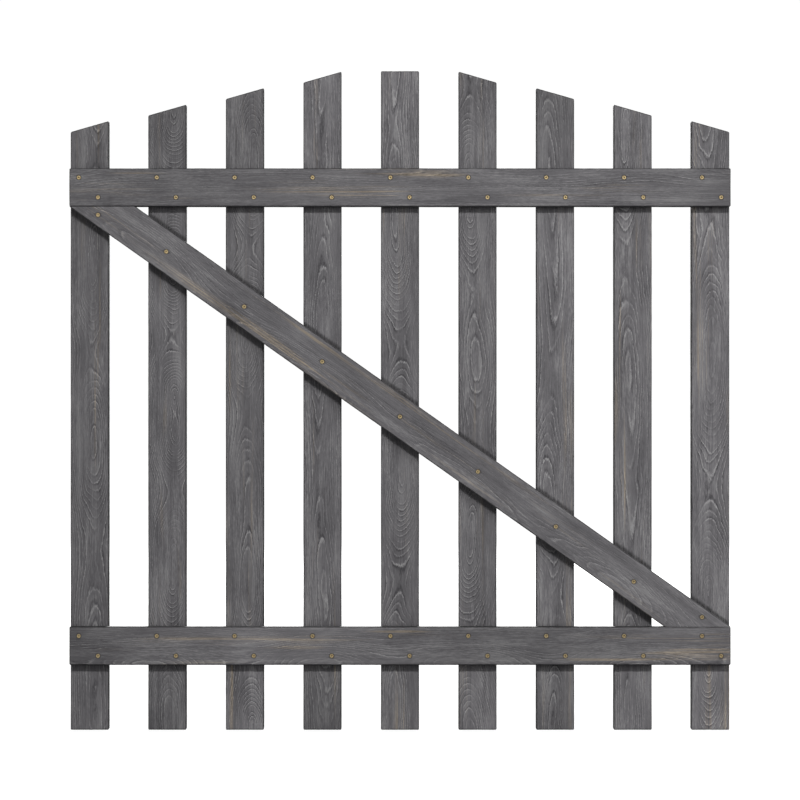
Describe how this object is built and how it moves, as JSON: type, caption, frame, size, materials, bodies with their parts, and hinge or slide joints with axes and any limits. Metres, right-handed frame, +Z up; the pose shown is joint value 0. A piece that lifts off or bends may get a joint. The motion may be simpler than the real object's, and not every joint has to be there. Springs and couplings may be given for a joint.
{
  "type": "garden gate",
  "caption": "Braced picket garden gate leaf with a crowned top: upright boards screwed behind two rails and a diagonal brace.",
  "frame": {"origin": "middle of the gate's width and thickness, at the level of the picket feet", "axes": "+Z up; X across the gate, with the hinge side at +X; -Y towards the side that carries the rails and the brace, +Y towards the side with plain pickets"},
  "size_m": [1, 0.036, 1],
  "materials": {
    "picket_wood": "dark grey translucent stain, open grain, matt",
    "rail_wood": "dark grey translucent stain with bare tan streaks, open grain, matt",
    "brace_wood": "dark grey translucent stain with bare tan streaks, open grain, matt",
    "screw_metal": null
  },
  "bodies": {
    "root": {"picket_1": "picket_wood", "picket_2": "picket_wood", "picket_3": "picket_wood", "picket_4": "picket_wood", "picket_5": "picket_wood", "picket_6": "picket_wood", "picket_7": "picket_wood", "picket_8": "picket_wood", "picket_9": "picket_wood", "top_rail": "rail_wood", "bottom_rail": "rail_wood", "brace": "brace_wood", "picket_1_screws": "screw_metal", "picket_2_screws": "screw_metal", "picket_3_screws": "screw_metal", "picket_4_screws": "screw_metal", "picket_5_screws": "screw_metal", "picket_6_screws": "screw_metal", "picket_7_screws": "screw_metal", "picket_8_screws": "screw_metal", "picket_9_screws": "screw_metal"}
  },
  "joints": []
}
